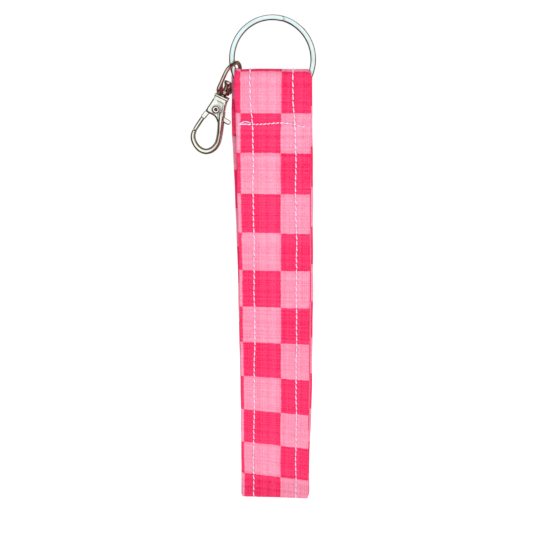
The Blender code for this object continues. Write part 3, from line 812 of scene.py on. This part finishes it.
def swept(bm, stations, squareness, sides=24, closed=False):
    """A bar along (u, y, v, half width, half depth) stations in mm. Its section is round at squareness 2."""
    line = smooth_line(stations, closed=closed)
    centre = line[:, :3]
    along = np.gradient(centre, axis=0)
    if closed:
        along = np.roll(centre, -1, axis=0) - np.roll(centre, 1, axis=0)
    rows = []
    for point, direction, (wide, deep) in zip(centre, along, line[:, 3:5]):
        direction = Vector(direction).normalized()
        depth = Vector((0, 1, 0))
        depth = (depth - direction * depth.dot(direction)).normalized()
        across = direction.cross(depth)
        row = []
        for k in range(sides):
            cosine, sine = rounded_square(math.tau * k / sides, 2 / squareness)
            offset = across * cosine * wide + depth * sine * deep
            row.append(bm.verts.new((Vector(point) + offset) * MM))
        rows.append(row)
    close_rows(bm, rows, closed)


def close_rows(bm, rows, closed=False):
    pairs = list(zip(rows, rows[1:] + rows[:1]))
    for row, after in pairs if closed else pairs[:-1]:
        for i in range(len(row)):
            j = (i + 1) % len(row)
            bm.faces.new((row[i], row[j], after[j], after[i]))
    if not closed:
        bm.faces.new(rows[0])
        bm.faces.new(rows[-1])


def turned(bm, profile, axis="v", centre=(0, 0, 0), sides=48):
    """A round body from (radius, height) points in mm; its axis is v or y."""
    rows = []
    for radius, height in profile:
        row = []
        for k in range(sides):
            a = math.tau * k / sides
            p, r = radius * math.cos(a), radius * math.sin(a)
            at = (p, r, height) if axis == "v" else (p, height, r)
            row.append(bm.verts.new((Vector(centre) + Vector(at)) * MM))
        rows.append(row)
    close_rows(bm, rows)


def inset(outline, distance):
    """A closed outline moved inwards; its points run anticlockwise."""
    moved = []
    for before, here, after in zip(outline[-1:] + outline[:-1], outline, outline[1:] + outline[:1]):
        run = (Vector(after) - Vector(before)).normalized()
        moved.append((here[0] - run.y * distance, here[1] + run.x * distance))
    return moved


def plate(bm, outline, y_low, y_high, round_low=0.25, round_high=0.25, smooth=1):
    """A plate with this (u, v) outline in mm, its points anticlockwise, and rounded rims."""
    if smooth > 1:
        outline = [tuple(point) for point in smooth_line(outline, smooth, closed=True)]
    layers = [(round_low * (1 - math.cos(a)), y_low + round_low * (1 - math.sin(a)))
              for a in np.radians(np.linspace(90, 0, 6))]
    layers += [(round_high * (1 - math.cos(a)), y_high - round_high * (1 - math.sin(a)))
               for a in np.radians(np.linspace(0, 90, 6))]
    rows = []
    for distance, y in layers:
        rows.append([bm.verts.new((u * MM, y * MM, v * MM)) for u, v in inset(outline, distance)])
    close_rows(bm, rows)


def melt_together(made, rounds):
    """Joins a casting's overlapping bodies into one skin and smooths it."""
    remesh = made.modifiers.new("melt", "REMESH")
    remesh.mode = "VOXEL"
    remesh.voxel_size = VOXEL
    soften = made.modifiers.new("soften", "SMOOTH")
    soften.factor = 0.5
    soften.iterations = rounds
    graph = bpy.context.evaluated_depsgraph_get()
    mesh = bpy.data.meshes.new_from_object(made.evaluated_get(graph))
    made.modifiers.clear()
    made.data = mesh


def finish_metal(name, bm, finish, body, node, sharp_deg=35, cast=0):
    """Puts clasp-frame geometry in place. cast is a casting's number of smoothing rounds, or 0."""
    bmesh.ops.recalc_face_normals(bm, faces=bm.faces)
    mesh = bpy.data.meshes.new(name)
    bm.to_mesh(mesh)
    bm.free()
    made = new_object(name, mesh, finish)
    if cast:
        melt_together(made, cast)
    made.data.transform(CLASP)
    made.data.materials.clear()
    made.data.materials.append(finish)
    made.data.shade_smooth()
    if not cast:
        made.data.set_sharp_from_angle(angle=math.radians(sharp_deg))
    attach(made, body)
    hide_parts(node)
    return made


# Sizes of the clasp's pieces, in mm
BAIL_HALF, BAIL_CORNER, BAIL_BASE = 4.85, 1.2, 1.4
BAIL_SHOULDER, BAIL_TOP = 7.65, 12.05
BAIL_WIRE = 0.66
BAIL_TURN = math.radians(69.0)
BAIL_EYE = [(1.15, 0.72), (1.75, 0.72), (2.0, 0.95), (2.0, 1.85), (1.75, 2.08), (1.15, 2.08)]
BAIL_WEB = [(4.75, 5.4), (5.0, 1.8), (4.1, 0.9), (1.6, 0.9), (1.7, 2.1), (2.7, 2.8), (3.6, 3.8)]


def swivel_bail():
    """A D of round wire with a thick flat eye at its base, turned about the swivel axis."""
    bm = bmesh.new()
    outline = []
    for a in np.radians(np.linspace(-90, 0, 5)):
        across = BAIL_HALF - BAIL_CORNER * (1 - math.cos(a))
        outline.append((across, BAIL_BASE + BAIL_CORNER * (1 + math.sin(a))))
    for a in np.radians(np.linspace(0, 90, 9)):
        narrowing = max(math.cos(a), 0.0) ** 1.25
        outline.append((BAIL_HALF * narrowing, BAIL_SHOULDER + (BAIL_TOP - BAIL_SHOULDER) * math.sin(a)))
    outline += [(-w, h) for w, h in reversed(outline[:-1])]
    swept(bm, [(w, 0, h, BAIL_WIRE, BAIL_WIRE) for w, h in outline], squareness=2.0, sides=20, closed=True)
    turned(bm, BAIL_EYE)
    for side in (-1, 1):
        plate(bm, [(side * u, v) for u, v in BAIL_WEB[::-side]], -0.5, 0.5)
    bm.transform(Matrix.Rotation(BAIL_TURN, 4, "Z"))
    return finish_metal("bail", bm, BAIL_PLATE, "bail", "swivel_bail", cast=6)


POST = [(0.01, -1.5), (0.8, -1.5), (0.8, 0.5), (0.92, 0.62), (0.92, 0.74), (0.8, 0.84), (0.78, 3.3),
        (0.95, 3.7), (1.35, 4.3), (1.45, 4.75), (1.42, 5.0), (1.3, 5.14), (1.12, 5.12), (0.95, 4.9),
        (0.7, 4.3), (0.01, 4.1)]


def swivel_post():
    """A turned post whose top is flared over like a tubular rivet."""
    bm = bmesh.new()
    turned(bm, POST)
    return finish_metal("post", bm, CLASP_PLATE, "hook", "swivel_post", 30)


HOOK_LIMB = [(2.1, 0, -5.0, 0.9, 1.9), (2.95, 0, -7.6, 1.15, 1.97), (3.68, 0, -9.7, 1.1, 1.9),
             (4.5, 0, -12.3, 1.03, 1.6), (5.05, 0, -15.2, 1.03, 1.35), (4.5, 0, -17.8, 1.05, 1.2),
             (2.8, 0, -19.65, 1.0, 1.15), (0.65, 0, -20.0, 0.97, 1.15), (-1.4, 0, -19.25, 0.94, 1.15),
             (-2.95, 0, -17.9, 0.9, 1.12), (-3.7, 0, -16.4, 0.85, 1.1), (-3.85, 0, -14.8, 0.76, 1.05)]
CHEEK = [(-2.1, -0.5), (-2.25, -1.3), (-2.65, -3.9), (-3.05, -6.6), (-2.3, -7.15), (-1.2, -7.2), (0.2, -7.3),
         (1.3, -7.9), (2.2, -8.9), (3.0, -9.8), (3.8, -9.6), (4.3, -8.6), (3.75, -6.8), (2.95, -4.2),
         (2.35, -1.8), (2.1, -0.5)]
SHOULDER = [(-2.1, -0.3), (-2.25, -1.3), (-2.4, -2.4), (2.5, -2.4), (2.25, -1.4), (2.1, -0.3)]
FLANGE = [(-2.35, 0.05), (-2.5, -0.35), (-2.35, -0.75), (2.35, -0.75), (2.5, -0.35), (2.35, 0.05)]


def hook_body():
    """A casting: two cheeks joined at the shoulders, a flange and collar on top, and the fixed hook."""
    bm = bmesh.new()
    plate(bm, CHEEK, -2.0, -1.2, 0.75, 0.05, smooth=3)
    plate(bm, CHEEK, 1.2, 2.0, 0.05, 0.75, smooth=3)
    for vert in bm.verts:  # the cheeks close in towards the hook's limb
        vert.co.y *= 1 - 0.35 * ease((-5.8 * MM - vert.co.z) / (3.2 * MM))
    plate(bm, SHOULDER, -2.0, 2.0, 0.7, 0.7)
    plate(bm, FLANGE, -2.2, 2.2, 0.35, 0.35)
    swept(bm, HOOK_LIMB, squareness=2.1)
    turned(bm, [(0.01, 0.0), (1.3, 0.0), (1.3, 0.35), (1.15, 0.5), (0.01, 0.5)])
    return finish_metal("hook", bm, CLASP_PLATE, "hook", "hook_body", cast=12)


GATE_BLOCK = [(-1.2, -0.3, -5.6, 0.9, 0.7), (-2.35, -0.2, -7.2, 0.84, 1.0), (-2.65, -0.15, -8.1, 0.86, 1.15),
              (-3.0, -0.15, -9.4, 0.86, 1.15)]
GATE_ARM = [(-2.8, -0.1, -8.6, 0.72, 0.95), (-3.15, -0.1, -10.2, 0.74, 0.98), (-3.5, -0.1, -12.2, 0.76, 0.98),
            (-3.85, -0.1, -14.5, 0.74, 0.95)]
THUMB_TAB = [(0.9, -0.4, -5.3, 0.8, 0.5), (2.2, -0.45, -6.2, 0.82, 0.5), (3.7, -0.5, -7.0, 0.86, 0.5),
             (5.1, -0.5, -7.2, 0.86, 0.5), (5.75, -0.5, -7.2, 0.8, 0.48), (6.15, -0.5, -7.2, 0.5, 0.4),
             (6.3, -0.5, -7.2, 0.2, 0.2)]


def gate_lever():
    """Hub, arm with a square block at its root, and a round-ended thumb tab."""
    bm = bmesh.new()
    turned(bm, [(0.01, -1.0), (1.6, -1.0), (1.6, 0.4), (0.01, 0.4)], "y", GATE_HUB)
    swept(bm, GATE_BLOCK, squareness=5.0)
    swept(bm, GATE_ARM, squareness=2.2)
    swept(bm, THUMB_TAB, squareness=3.0)
    return finish_metal("gate", bm, CLASP_PLATE, "gate", "gate_lever", cast=8)


RIVET_HEAD = [(0.01, 2.05), (0.42, 2.05), (0.50, 2.2), (0.62, 2.40), (0.92, 2.42), (1.02, 2.32), (1.07, 2.08),
              (1.16, 2.02), (1.25, 2.10), (1.34, 2.22), (1.46, 2.2), (1.54, 2.08), (1.55, 1.96), (0.55, 1.92)]


def pivot_rivet():
    """The rivet: each head has a raised ring and a dimple."""
    bm = bmesh.new()
    profile = [(r, -h) for r, h in RIVET_HEAD] + [(r, h) for r, h in reversed(RIVET_HEAD)]
    turned(bm, profile, "y", GATE_HUB)
    rivet = finish_metal("rivet", bm, CLASP_PLATE, "hook", "pivot_rivet", 30)
    # The dimples' faces get the dark maroon finish, which is painted shade and a painted reflection of the
    # strap.
    rivet.data.materials.append(DIMPLE_SHADE)
    for face in rivet.data.polygons:
        from_axis = face.center - GATE_PIVOT
        if math.hypot(from_axis.x, from_axis.z) < 0.5 * MM:
            face.material_index = 1


def gate_spring():
    """Two turns of fine wire round the rivet, with a leg up the body and a leg down the gate."""
    bm = bmesh.new()
    hub_u, _, hub_v = GATE_HUB
    coil, front, back, wire = 1.02, 0.72, 1.12, 0.1
    line = [(hub_u - 1.05, front, -2.9), (hub_u - 1.05, front, hub_v + 0.8)]
    for turns in np.linspace(0.5, 2.5, 25):
        a = math.tau * turns
        y = front + (back - front) * (turns - 0.5) / 2
        line.append((hub_u + coil * math.cos(a), y, hub_v + coil * math.sin(a)))
    line += [(hub_u - 1.2, back, hub_v - 1.4), (hub_u - 1.6, back, hub_v - 2.9)]
    swept(bm, [(*point, wire, wire) for point in line], squareness=2.0, sides=10)
    made = finish_metal("spring", bm, SPRING_WIRE, "hook", "gate_spring", 60)
    return made


# ---------------------------------------------------------------- stage

CAMERA_TARGET = Vector((-2.4 * MM, FRONT_LOW.y, -49.7 * MM))
CAMERA_AZIMUTH = math.radians(6.0)
CAMERA_ELEVATION = math.radians(17.0)
CAMERA_ROLL = math.radians(-0.39)
CAMERA_DISTANCE = 318 * MM
CAMERA_LENS = 61.1
SOFT_LIGHT = 0.55


def camera():
    back = Vector((math.sin(CAMERA_AZIMUTH) * math.cos(CAMERA_ELEVATION),
                   -math.cos(CAMERA_AZIMUTH) * math.cos(CAMERA_ELEVATION), math.sin(CAMERA_ELEVATION)))
    data = bpy.data.cameras.new("camera")
    data.lens = CAMERA_LENS
    data.sensor_width = 36.0
    data.clip_start = 0.01
    made = bpy.data.objects.new("camera", data)
    bpy.context.scene.collection.objects.link(made)
    made.rotation_mode = "QUATERNION"
    made.location = CAMERA_TARGET + back * CAMERA_DISTANCE
    level = (-back).to_track_quat("-Z", "Y")
    made.rotation_quaternion = level @ Matrix.Rotation(CAMERA_ROLL, 3, "Z").to_quaternion()
    bpy.context.scene.camera = made
    return back


def floor():
    z = cad_bounds[0].z - 22 * MM
    size = 6.0
    corners = [(-size, -size, z), (size, -size, z), (size, size, z), (-size, size, z)]
    mesh = mesh_from("floor", corners, [(0, 1, 2, 3)])
    nodes = Finish("pale_floor")
    place = nodes.node("ShaderNodeTexCoord").outputs["Object"]
    grain = nodes.noise(place, 40.0, 2.0)
    base = nodes.mix(grain, (0.93, 0.93, 0.93, 1), (0.96, 0.96, 0.96, 1))
    finish = nodes.surface(Base_Color=base, Roughness=0.8, Specular_IOR_Level=0.1,
                           Emission_Color=(1, 1, 1, 1), Emission_Strength=0.5)
    made = new_object("floor", mesh, finish)
    made.visible_glossy = False


def area_light(name, place, target, size, power):
    data = bpy.data.lights.new(name, "AREA")
    data.shape = "DISK"
    data.size = size
    data.energy = power
    made = bpy.data.objects.new(name, data)
    bpy.context.scene.collection.objects.link(made)
    made.location = place
    made.visible_glossy = False
    made.rotation_mode = "QUATERNION"
    made.rotation_quaternion = (Vector(target) - Vector(place)).to_track_quat("-Z", "Y")


# What metal mirrors, from towards the camera (0) to away from it (1)
MIRRORED = [(0.0, (1.38, 1.38, 1.38)), (0.12, (1.16, 1.22, 1.24)), (0.155, (0.60, 0.61, 0.60)),
            (0.19, (0.14, 0.09, 0.06)), (0.38, (0.03, 0.015, 0.013)), (0.60, (0.09, 0.05, 0.03)),
            (0.70, (0.50, 0.42, 0.26)), (0.80, (0.14, 0.08, 0.07)), (1.0, (0.35, 0.33, 0.33))]


def mirrored_studio(nodes):
    """The colour that metal mirrors in each direction: bright towards the camera, a dark belt round that."""
    direction = nodes.node("ShaderNodeTexCoord").outputs["Generated"]
    seen = nodes.node("ShaderNodeVectorTransform", {0: direction}, vector_type="VECTOR", convert_from="WORLD",
                      convert_to="CAMERA").outputs[0]
    split = nodes.node("ShaderNodeSeparateXYZ", {0: seen}).outputs
    away = nodes.ramp(split[2], -1.0, 1.0)
    uneven = nodes.ramp(nodes.noise(seen, 1.7, 1.0), 0.3, 0.7, -0.035, 0.035)
    ramp = nodes.node("ShaderNodeValToRGB", {0: nodes.maths("ADD", away, uneven)})
    elements = ramp.color_ramp.elements
    while len(elements) < len(MIRRORED):
        elements.new(0.5)
    for element, (at, tone) in zip(elements, MIRRORED):
        element.position = at
        element.color = (*tone, 1.0)
    tint = nodes.mix(nodes.ramp(split[0], -0.7, 0.7), (0.92, 0.99, 1.0, 1), (1.0, 0.95, 0.86, 1))
    return nodes.mix(1.0, ramp.outputs[0], tint, "MULTIPLY")


def world():
    """Soft white light, plain white behind the object, and a studio that only metal mirrors."""
    made = bpy.data.worlds.new("studio")
    made.use_nodes = True
    bpy.context.scene.world = made
    made.node_tree.nodes.clear()
    nodes = Nodes(made.node_tree)
    ray = nodes.node("ShaderNodeLightPath").outputs
    strength = nodes.ramp(ray["Is Camera Ray"], 0.0, 1.0, SOFT_LIGHT, 1.0)
    plain = nodes.node("ShaderNodeBackground", {"Color": (1, 1, 1, 1), "Strength": strength}).outputs[0]
    studio = nodes.node("ShaderNodeBackground", {"Color": mirrored_studio(nodes)}).outputs[0]
    chosen = nodes.node("ShaderNodeMixShader", {0: ray["Is Glossy Ray"], 1: plain, 2: studio}).outputs[0]
    nodes.node("ShaderNodeOutputWorld", {0: chosen})


strap()
split_ring()
swivel_bail()
swivel_post()
hook_body()
gate_lever()
pivot_rivet()
gate_spring()
camera()
floor()
world()
area_light("key", (0.35, -0.45, 0.40), (0, 0, -0.05), 0.45, 2.0)
area_light("fill", (-0.4, -0.5, 0.0), (0, 0, -0.06), 0.5, 0.5)
bpy.context.scene.view_settings.view_transform = "Standard"
